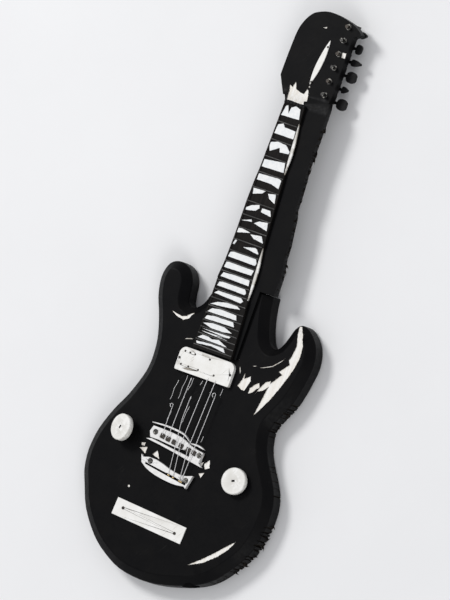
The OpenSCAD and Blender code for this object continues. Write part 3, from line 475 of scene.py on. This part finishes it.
def outline_run(node, z, keep, order):
    """Corners of a CAD node at one height that keep() accepts, sorted along a run."""
    corners = (v.co for v in nodes[node].data.vertices)
    found = {(round(c.x, 6), round(c.y, 6)) for c in corners if abs(c.z - z) < LEVEL}
    return [Vector((x, y, 0)) for x, y in sorted((p for p in found if keep(*p)), key=order)]


def along_run(run, share):
    """Place and unit direction at a share of a run's length."""
    lengths = [(b - a).length for a, b in zip(run, run[1:])]
    left = share * sum(lengths)
    for a, b, length in zip(run, run[1:], lengths):
        if left <= length:
            return a.lerp(b, left / length), (b - a).normalized()
        left -= length
    return run[-1], (run[-1] - run[-2]).normalized()


def spike(bm, root, out, along, width, length, z0, z1):
    """A thin splinter standing out of an edge: a bent four-sided sliver with its root sunk in."""
    base = [root - out * 2 * MM - along * width / 2, root - out * 2 * MM + along * width / 2]
    mid = root + out * length * 0.5 + along * width * 0.35
    tip = root + out * length + along * width * 1.1
    ring = [bm.verts.new((p.x, p.y, z)) for z in (z0, z1) for p in base]
    waist = []
    for height, share in ((0.3, 0.22), (0.75, 0.18)):
        for p in (mid - along * width * share, mid + along * width * share):
            waist.append(bm.verts.new((p.x, p.y, z0 + (z1 - z0) * height)))
    point = bm.verts.new((tip.x, tip.y, z0 + (z1 - z0) * 0.5))
    for a, b in ((0, 1), (1, 3), (3, 2), (2, 0)):
        bm.faces.new([ring[a], ring[b], waist[b], waist[a]])
        bm.faces.new([waist[a], waist[b], point])
    bm.faces.new([ring[0], ring[2], ring[3], ring[1]])


# ---- Body: torn patches on the face, three of them also painted highlights, splintered lower right edge and waist ----
FACE_Z = max(v.co.z for v in nodes["body"].data.vertices)
RIM_Z = 0.032          # where the wall meets the face's chamfer
BACK_Z = 0.005         # where it meets the back's
BACK_CHAMFER = 5 * MM
EDGE_RADIUS = 1.6 * MM
CRACK_WIDTH = 1.3
CHIP_DEPTH = 1.1
body_tree = tree_of("body")

# Torn patches and cracks, in millimetres across and along the face. The three crescents are bare-wood chips
# along the edge ridges: worn paint, and also the painted highlight of the lacquered ridge.
horn_crescent = [(144, 259), (154, 247), (163, 228), (165, 210), (162, 190), (156, 170), (147, 146), (136, 121),
                 (118, 90), (123, 120), (128, 150), (144, 171), (136, 174), (151, 191), (147, 198), (150, 206),
                 (152, 225), (146, 246), (139, 258)]
lobe_crescent = [(-97, 212), (-86, 206), (-71, 203), (-61, 209), (-55, 221), (-60, 219), (-67, 211), (-77, 208),
                 (-87, 210)]
edge_crescent = [(167, -122), (158, -139), (143, -156), (121, -174), (94, -187), (117, -169), (137, -151),
                 (153, -135)]
face_chips = [
    [(70, 129), (75, 141), (76, 153), (78, 143), (88, 151), (91, 143), (85, 124), (79, 124)],
    [(94, 122), (94, 131), (102, 141), (108, 145), (111, 137), (106, 134), (102, 127)],
    [(105, 122), (109, 130), (120, 136), (127, 144), (128, 155), (119, 150), (112, 137)],
    [(-67, -17), (-60, -15), (-60, -21), (-66, -21)],
    [(-68, -26), (-54, -21), (-54, -33)],
    [(-40, -30), (-33, -21), (-25, -34)],
    [(50, -22), (58, -12), (56, -24)],
    [(60, -16), (68, -6), (72, -20), (64, -24)],
    [(56, -34), (66, -30), (62, -40)],
    [(-65, -93), (-62, -92), (-61, -96), (-64, -96)],
]
cracks = [[(-57, 173), (-48, 177), (-40, 178)], [(49, 173), (57, 171)], [(85, 168), (93, 171)],
          [(97, 169), (117, 176), (126, 183), (139, 198)], [(62, 161), (65, 155), (67, 149)]]


def crack_outline(path, width):
    """A long thin lens along a path, pointed at both ends."""
    pts = [Vector(p) for p in path]
    upper, lower = [pts[0]], []
    for a, b in zip(pts, pts[1:]):
        mid = a.lerp(b, 0.5)
        normal = Vector((a.y - b.y, b.x - a.x)).normalized() * width / 2
        upper.append(mid + normal)
        lower.append(mid - normal)
    return [tuple(p) for p in upper + [pts[-1]] + lower[::-1]]


chips = bmesh.new()
for k, outline in enumerate([horn_crescent, lobe_crescent, edge_crescent] + face_chips):
    chip_cutter(chips, outline, body_tree, CHIP_DEPTH, 10 + k, RIM_Z)
for k, path in enumerate(cracks):
    chip_cutter(chips, crack_outline(path, CRACK_WIDTH), body_tree, CHIP_DEPTH, 40 + k, RIM_Z, 0.1)


def up_the_body(p):
    """The key that sorts corners from the lower end to the neck."""
    return p[1]


treble = outline_run("body", RIM_Z, lambda x, y: x > 0.09 and -0.215 < y < 0.16, up_the_body)
# Each: from and to along the body, how many notches, their reach and width in mm, how thick the splinters are.
torn_runs = [(-0.205, -0.175, 4, 3.0, 4, 0.6), (-0.178, -0.072, 12, 9.5, 8, 1.0),
             (-0.035, 0.03, 5, 3.5, 5, 0.6), (0.06, 0.135, 10, 6.0, 6, 0.8)]
SPLINTER_SHARE = 0.8   # splinters for each notch
NOTCH_FOOT = -0.003    # below the back, so that a notch goes right through the lower edge
notches, slivers = bmesh.new(), bmesh.new()
dice = random.Random(7)
for start, end, count, reach, wide, thick in torn_runs:
    run = [p for p in treble if start <= p.y <= end]
    for k in range(count):
        at, along = along_run(run, (k + dice.uniform(0.2, 0.8)) / count)
        inward = Vector((-along.y, along.x, 0))
        notch_cutter(notches, at, inward, along, dice.uniform(0.5, 1.3) * wide * MM,
                     dice.uniform(0.35, 1) * reach * MM, dice.uniform(-1, 0.3) * wide * MM, NOTCH_FOOT,
                     dice.uniform(0.030, 0.046))
        if dice.random() < SPLINTER_SHARE:
            at, along = along_run(run, (k + dice.uniform(0, 1)) / count)
            low = dice.uniform(0.005, 0.014)
            spike(slivers, at, Vector((along.y, -along.x, 0)), along * dice.choice((-1, 1, 1)),
                  dice.uniform(0.35, 0.8) * wide * MM, dice.uniform(0.3, 1) * reach * 0.8 * MM, low,
                  low + dice.uniform(3, 9) * thick * MM)


def middle(node):
    """The middle of a CAD node's box."""
    low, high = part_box(node)
    return (low + high) / 2


# Where the body has bores, pockets and seats, whose edges stay sharp.
FACE_SEATS = [(-0.075, 0.075, -0.07, 0.29), (-0.085, 0.085, -0.175, -0.105)]   # each: x from, to, y from, to
KNOB_SEAT = 0.03
SOCKET_X, SOCKET_REACH, SOCKET_Y = 0.102, 0.02, -0.19
knob_centres = [middle(shaft).xy for shaft in ("volume_shaft", "tone_shaft")]
wall_foot = outline_run("body", BACK_Z, lambda x, y: True, up_the_body)
back_ring = [p for p in outline_run("body", 0.0, lambda x, y: True, up_the_body)
             if any(abs((p - q).length_squared - BACK_CHAMFER ** 2) < 4e-6 for q in wall_foot)]


def on_outline(e):
    """An edge of the body's outline rings, not of a bore, pocket or seat."""
    a, b = (v.co for v in e.verts)
    if not any(abs(a.z - z) < 2 * LEVEL and abs(b.z - z) < 2 * LEVEL for z in (0, BACK_Z, RIM_Z, FACE_Z)):
        return False
    if abs(a.x - SOCKET_X) < SOCKET_REACH and a.y < SOCKET_Y:
        return False
    if a.z < MM:
        return min((Vector((*a.xy, 0)) - p).length for p in back_ring) <= MM
    if abs(a.z - FACE_Z) < MM:
        seated = any(x0 < a.x < x1 and y0 < a.y < y1 for x0, x1, y0, y1 in FACE_SEATS)
        return not seated and all((a.xy - centre).length >= KNOB_SEAT for centre in knob_centres)
    return True


# The bare wood is worn paint, and on the crescent chips also a painted highlight.
TORN_AND_HIGHLIGHT_FINISHES = [finish["black_lacquer"], bare_wood_and_highlight, charred]
body_mesh = carved("body", "carved_body", [chips, notches], TORN_AND_HIGHLIGHT_FINISHES, on_outline, EDGE_RADIUS)
flatten_shading(piece("carved_body", body_mesh, "black_lacquer", stands_for=["body"]))
piece("edge_splinters", mesh_of(slivers, "edge_splinters"), "black_lacquer",
      material=charred, smooth_deg=20)

# ---- Neck: bare patch behind the nut, splintered treble margin ----
NECK_CHIP_DEPTH = 1.0
NECK_FACE_Z = 0.043
MARGIN_Y = (0.2925, 0.60)   # the splintered stretch, from the body to short of the headstock
MARGIN_NOTCHES = 46
neck_tree = tree_of("neck")
NUT_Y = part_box("nut")[1].y / MM
behind_nut = [(-29, 641), (-23, 638), (-20, 649), (-15, 637), (-6, 634), (2, 633), (6, 643), (8, 641), (14, 623),
              (9, 621), (12, NUT_Y + 1.5), (-22, NUT_Y + 1.5)]
neck_chips = [behind_nut, [(-6, 751), (2, 754), (1, 751)], [(6, 647), (8, 650), (9, 647)],
              [(47, 712), (54, 713), (53, 722), (46, 721)]]
neck_cuts = bmesh.new()
for k, outline in enumerate(neck_chips):
    chip_cutter(neck_cuts, outline, neck_tree, NECK_CHIP_DEPTH, 60 + k, NECK_FACE_Z)
reach_at = {}
for v in nodes["neck"].data.vertices:
    if MARGIN_Y[0] < v.co.y < MARGIN_Y[1]:
        key = round(v.co.y, 4)
        reach_at[key] = max(reach_at.get(key, -1), v.co.x)
margin = [Vector((x, y, 0)) for y, x in sorted(reach_at.items())]
neck_notches, neck_slivers = bmesh.new(), bmesh.new()
for k in range(MARGIN_NOTCHES):
    at, along = along_run(margin, (k + dice.uniform(0.1, 0.9)) / MARGIN_NOTCHES)
    inward = Vector((-along.y, along.x, 0))
    notch_cutter(neck_notches, at, inward, along, dice.uniform(3, 13) * MM, dice.uniform(0.5, 4.5) * MM,
                 dice.uniform(-8, 8) * MM, -0.002, dice.uniform(0.045, 0.053))
    if dice.random() < 0.3:
        low = dice.uniform(0.032, 0.042)
        spike(neck_slivers, at, -inward, along * dice.choice((-1, 1)), dice.uniform(4, 12) * MM,
              dice.uniform(0.5, 3) * MM, low, low + dice.uniform(2, 5) * MM)
neck_mesh = carved("neck", "carved_neck", [neck_cuts, neck_notches], TORN_AND_HIGHLIGHT_FINISHES)
flatten_shading(piece("carved_neck", neck_mesh, "black_lacquer", stands_for=["neck"]))
piece("neck_splinters", mesh_of(neck_slivers, "neck_splinters"), "black_lacquer",
      material=charred, smooth_deg=20)

# ---- Broken inlays: what is left of the block between each two frets ----
# Each shard's corners as shares of its pocket: across from the bass side, along from the bridge side.
slab = [(0, 0.08), (0.03, 0.8), (0.14, 0.97), (0.93, 1), (1, 0.35), (0.97, 0.02)]
shards = [
    [[(0, 0), (0.09, 0.8), (0.2, 0.88), (0.34, 0.25), (0.4, 0.8), (0.63, 1), (0.91, 0.88), (1, 0.06)]],
    [[(0, 0), (0.03, 0.78), (0.28, 1), (0.4, 0.72), (1, 0.67), (1, 0)]],
    [[(0, 0.46), (0, 0.77), (0.34, 1), (0.75, 0.92), (1, 0.46), (0.97, 0.23), (0.56, 0.15), (0.5, 0.54),
      (0.09, 0)]],
    [[(0, 0), (0, 0.73), (0.94, 1), (1, 0.07)]],
    [[(0, 0.24), (0, 0.88), (0.9, 1), (1, 0.88), (0.98, 0), (0.65, 0.24)]],
    [[(0, 0.94), (0.51, 1), (0.4, 0.65), (0.05, 0.3)], [(0.63, 0.82), (0.95, 1), (1, 0), (0.74, 0.35)]],
    [[(0, 0), (0, 0.29), (0.18, 0.71), (0.45, 1), (0.49, 0.66), (0.37, 0.23), (0.1, 0.03)],
     [(0.59, 0.74), (0.92, 0.77), (1, 0.11), (0.59, 0.29)]],
    [[(0, 0.29), (0.34, 0.75), (0.38, 0.5)], [(0.96, 1), (0.64, 0.83), (0.47, 0.42), (1, 0)]],
    [[(0, 0.32), (0, 0.92), (0.13, 1), (0.46, 0.8), (0.4, 0.72)],
     [(0.48, 0.6), (0.88, 0.84), (1, 0), (0.63, 0.2)]],
    [[(0, 0.35), (0.04, 1), (0.1, 0.96), (0.06, 0.35)],
     [(0.38, 0.35), (0.78, 0.77), (0.86, 0.65), (0.96, 0.12), (0.92, 0.04)]],
    [slab], [[(0, 0), (0.02, 0.9), (0.1, 1), (1, 0.95), (0.96, 0.1)]],
    [[(0, 0.1), (0.05, 0.85), (0.5, 1), (0.97, 0.96), (1, 0)]], [slab],
    [[(0, 0.3), (0.1, 0.9), (0.9, 1), (1, 0.5), (0.93, 0)]],
    [[(0, 0), (0.2, 0.6), (0.52, 1), (0.87, 1), (1, 0.64), (0.6, 0.3)]],
    [[(0, 0), (0.12, 0.73), (0.41, 1), (0.94, 0.9), (1, 0.1)]],
    [[(0, 0), (0.04, 0.64), (0.28, 0.93), (0.92, 1), (1, 0.2)]],
    [[(0, 0.5), (0.31, 1), (0.7, 1), (1, 0.3), (0.7, 0), (0.31, 0)]],
    [[(0.04, 0.8), (1, 1), (0.96, 0.58), (0.8, 0.5)],
     [(0, 0.3), (0.9, 0.4), (0.5, 0.22), (0.96, 0), (0.3, 0.1)]],
    [[(0, 0.1), (0.13, 0.9), (0.33, 0.9), (0.46, 0.6), (0.67, 1), (1, 0)]],
    [[(0, 0.6), (0.47, 1), (0.9, 1), (1, 0), (0.53, 0.5), (0.04, 0.1)]],
]
SHARD_LIP = 0.18 * MM
SHARD_SHARE = 0.68     # how much of its pocket's length a block still fills, from the nut side
TIGHT_SHARE = 0.9
ROOMY_POCKETS = 15     # pockets long enough to show the bare wood under a lost edge
NEAR = 0.1 * MM


def cap(bm, ring, flip):
    """Closes a ring of corners with triangles."""
    count = len(ring)
    border = [(i, (i + 1) % count) for i in range(count)]
    _, _, faces, origins = delaunay_2d_cdt([v.co.xy for v in ring], border, [], 1, 1e-9)[:4]
    verts = [ring[o[0]] if o else None for o in origins]
    for f in faces:
        loop = [verts[i] for i in (reversed(f) if flip else f)]
        if None not in loop and len(set(loop)) == 3 and not bm.faces.get(loop):
            bm.faces.new(loop)


def bridge(bm, rings):
    """Joins each ring of corners to the next, all round."""
    for a, b in zip(rings, rings[1:]):
        for i in range(len(a)):
            n = (i + 1) % len(a)
            bm.faces.new([a[i], a[n], b[n], b[i]])


class Pocket:
    """The space cut for one inlay block, with sides that taper from one fret to the next."""

    def __init__(self, corners):
        self.y = [f(p.y for p in corners) for f in (min, max)]
        self.z = [f(p.z for p in corners) for f in (min, max)]
        ends = [[p.x for p in corners if abs(p.y - y) < NEAR] for y in self.y]
        self.left, self.right = [min(xs) for xs in ends], [max(xs) for xs in ends]

    def place(self, across, along):
        """A place in millimetres from its shares of the pocket."""
        l = self.left[0] + (self.left[1] - self.left[0]) * along
        r = self.right[0] + (self.right[1] - self.right[0]) * along
        return (l + (r - l) * across) / MM, (self.y[0] + (self.y[1] - self.y[0]) * along) / MM

    def held(self, p):
        """The place, in metres, pushed back inside the pocket's box."""
        x = min(max(p.x * MM, min(self.left)), max(self.right))
        return Vector((x, min(max(p.y * MM, self.y[0]), self.y[1])))


blocks = sorted(islands("fret_inlays"), key=lambda corners: -max(p.y for p in corners))
bm = bmesh.new()
for k, (corners, parts) in enumerate(zip(blocks, shards)):
    pocket = Pocket(corners)
    kept = SHARD_SHARE if k < ROOMY_POCKETS else TIGHT_SHARE
    for j, part in enumerate(parts):
        outline = [pocket.place(across, 1 - kept * (1 - share)) for across, share in part]
        rim = [pocket.held(p) for p in torn(outline, 100 + 7 * k + j, 2.0, 0.22)]
        centre = sum(rim, Vector((0, 0))) / len(rim)
        levels = [(pocket.z[0], 0), (pocket.z[1] - SHARD_LIP, 0), (pocket.z[1], SHARD_LIP)]
        rings = [[bm.verts.new((*(p + (centre - p).normalized() * inset), z)) for p in rim]
                 for z, inset in levels]
        bridge(bm, rings)
        cap(bm, rings[0], True)
        cap(bm, rings[2], False)
piece("inlay_shards", mesh_of(bm, "inlay_shards"), "pearl", stands_for=["fret_inlays"], smooth_deg=25)

# ---- Binding: two slivers sprung out of their rebate, thick in the middle ----
BOW = 2.4 * MM
BINDING_RINGS = 40
BINDING_EDGE = 0.4 * MM
bm = bmesh.new()
for corners in islands("binding_strips"):
    y0, y1 = min(p.y for p in corners), max(p.y for p in corners)
    z0, z1 = min(p.z for p in corners), max(p.z for p in corners)
    end_xs = [[p.x for p in corners if abs(p.y - y) < NEAR] for y in (y0, y1)]
    ends = [sum(xs) / len(xs) for xs in end_xs]
    rings = []
    for k in range(BINDING_RINGS + 1):
        share = k / BINDING_RINGS
        swell = math.sin(math.pi * share)
        mid = ends[0] + (ends[1] - ends[0]) * share + 0.5 * BOW * swell
        half = (0.25 + 2.5 * swell) * MM + noise.noise(Vector((share * 9, y0 * 50, 0))) * 0.15 * MM
        section = ((-1, z0), (1, z0), (1, z1 - BINDING_EDGE), (0.8, z1), (-0.8, z1), (-1, z1 - BINDING_EDGE))
        rings.append([bm.verts.new((mid + sx * half, y0 + (y1 - y0) * share, z)) for sx, z in section])
    bridge(bm, rings)
    bm.faces.new(rings[0][::-1])
    bm.faces.new(rings[-1])
piece("binding_slivers", mesh_of(bm, "binding_slivers"), "ivory_plastic", stands_for=["binding_strips"])


# ---- Strings: wound and plain wires, two still taut over the pickup, four broken with sprung ends ----
def centreline(corners):
    """Start, crest and end of a bent string from its corners."""
    y0, y1, z1 = min(p.y for p in corners), max(p.y for p in corners), max(p.z for p in corners)

    def centre_of(chosen):
        return sum(chosen, Vector()) / max(1, len(chosen))

    return [centre_of([p for p in corners if p.y < y0 + 1.5 * MM]),
            centre_of([p for p in corners if p.z > z1 - 0.3 * MM]),
            centre_of([p for p in corners if p.y > y1 - 1.5 * MM])]


def tube(bm, path, radius, sides=8, wound=0.0):
    """A round wire swept along a path; wound adds the ripple of a wrapped string."""
    rings = []
    for i, p in enumerate(path):
        d = (path[min(i + 1, len(path) - 1)] - path[max(i - 1, 0)]).normalized()
        u = d.cross(Z if abs(d.z) < 0.9 else X).normalized()
        v = d.cross(u)
        r = radius * (1 + (wound if i % 2 else 0))
        if i in (0, len(path) - 1):
            r *= 0.6
        turns = [2 * math.pi * k / sides for k in range(sides)]
        rings.append([bm.verts.new(p + (u * math.cos(t) + v * math.sin(t)) * r) for t in turns])
    bridge(bm, rings)
    bm.faces.new(list(reversed(rings[0])))
    bm.faces.new(rings[-1])


def sampled(path, step):
    """The path with a point at about every step."""
    out = []
    for a, b in zip(path, path[1:]):
        count = max(1, round((b - a).length / step))
        out += [a.lerp(b, k / count) for k in range(count)]
    return out + [path[-1]]


def strings_piece(name, bm, stands_for=()):
    """A finished piece of bare string wire."""
    piece(name, mesh_of(bm, name, outward=False), "string_steel", stands_for=stands_for, smooth_deg=60)


bm = bmesh.new()
for corners in islands("strings"):
    tube(bm, sampled(centreline(corners), 0.9 * MM), 0.62 * MM, wound=0.12)
strings_piece("taut_strings", bm, ["strings"])

CURL_STEPS = 25
bm = bmesh.new()
dice = random.Random(21)
for corners in islands("broken_strings"):
    start, crest, end = centreline(corners)
    path = [start, crest, end] if (crest - start).length > 2 * MM else [crest, end]
    line = sampled(path, 1.2 * MM)
    away = (end - crest).normalized()
    swing = dice.choice((-1, 1)) * X
    curl = dice.uniform(2.5, 4.0) * MM
    for k in range(1, CURL_STEPS + 1):
        turn = k / CURL_STEPS * dice.uniform(1.5, 1.6) * math.pi
        rise = (Z * 0.75 + swing * 0.5) * curl * (1 - math.cos(turn)) * 0.9
        line.append(end + away * curl * math.sin(turn) + rise)
    tube(bm, line, 0.6 * MM, wound=0.1)
strings_piece("sprung_strings", bm, ["broken_strings"])

# Loose ends of the missing strings, lying on the face.
SCRAP_RADIUS = 0.45 * MM
scraps = [[(-43, 68), (-42, 88), (-40, 104)], [(-29, 74), (-28, 96), (-26, 117)],
          [(-18, 92), (-14, 105), (-13, 116)], [(-8, 34), (-5, 52), (-4, 68)], [(2, 108), (4, 117)],
          [(45, 102), (46, 115)], [(40, 17), (41, 28)], [(-36, 34), (-33, 50)]]
bm = bmesh.new()
for path in scraps:
    line = sampled([Vector((x * MM, y * MM, FACE_Z + 0.5 * MM)) for x, y in path], 1.5 * MM)
    tube(bm, [p + X * math.sin(i * 0.35) * 0.5 * MM for i, p in enumerate(line)], SCRAP_RADIUS)
strings_piece("string_scraps", bm)


# ---- CAD hardware: painted shade in recesses, soft edges on what shows ----
def paint_recess_shade(node, chosen):
    """Gives some faces of a CAD node the black finish, as painted shade in a recess."""
    mesh = nodes[node].data
    mesh.materials.append(finish["black_lacquer"])
    for face in mesh.polygons:
        if chosen(face):
            face.material_index = 1


def corner_key(mesh, index):
    """A corner's place from above, rounded so that corners over each other match."""
    co = mesh.vertices[index].co
    return round(co.x, 5), round(co.y, 5)


KNOB_SLOT_REACH = 5 * MM
# Painted shade: the knobs' sunken slot round the hub is made black where its recess lies in shadow.
for name in ("volume_knob", "tone_knob"):
    mesh = nodes[name].data
    axis = max((f for f in mesh.polygons if f.normal.z > 0.5), key=lambda f: f.area).normal.copy()
    crown = max(v.co.dot(axis) for v in mesh.vertices)
    hub = middle(name)
    hub -= axis * hub.dot(axis)
    paint_recess_shade(name, lambda f: 0.1 * MM < crown - f.center.dot(axis) < 2 * MM
            and (f.center - axis * f.center.dot(axis) - hub).length < KNOB_SLOT_REACH)

bridge_top = max(v.co.z for v in nodes["bridge_base"].data.vertices)
# Painted shade: the bridge base's recessed floors below its top are made black.
paint_recess_shade("bridge_base", lambda f: f.normal.z > 0.9 and f.center.z < bridge_top - MM)

# Painted shade: the tailpiece slot's floor, and the walls that stand on it, are made black.
tail = nodes["tailpiece"].data
slot_corners = {corner_key(tail, i) for f in tail.polygons
                if f.normal.z > 0.9 and f.center.z < bridge_top - 2 * MM for i in f.vertices}


def in_tail_slot(f):
    """A floor below the top, or a wall that stands on the slot's floor."""
    if f.normal.z > 0.9:
        return f.center.z < bridge_top - MM
    upright = abs(f.normal.z) < 0.1 and f.center.z > bridge_top - 3 * MM
    return upright and all(corner_key(tail, i) in slot_corners for i in f.vertices)


paint_recess_shade("tailpiece", in_tail_slot)

# Radius in millimetres of the softened edges.
soft_edges = {"volume_knob": 0.25, "tone_knob": 0.25, "pickup_cover": 0.6, "face_plate": 0.35,
              "bridge_base": 0.5, "bridge_rest_bar": 0.4, "tailpiece": 0.6, "truss_cover": 0.3, "nut": 0.3,
              "tuner_housings": 0.3, "bridge_saddles": 0.25, "seized_keys": 0.5, "tuner_key_1": 0.5,
              "tuner_key_3": 0.5, "tuner_key_5": 0.5}
BEVEL_ANGLE = math.radians(40)
for name, width in soft_edges.items():
    weld = nodes[name].modifiers.new("weld", "WELD")
    weld.merge_threshold = 0.002 * MM
    bevel = nodes[name].modifiers.new("bevel", "BEVEL")
    bevel.width = width * MM
    bevel.segments = 2
    bevel.limit_method = "ANGLE"
    bevel.angle_limit = BEVEL_ANGLE
    bevel.use_clamp_overlap = False
    bevel.harden_normals = True
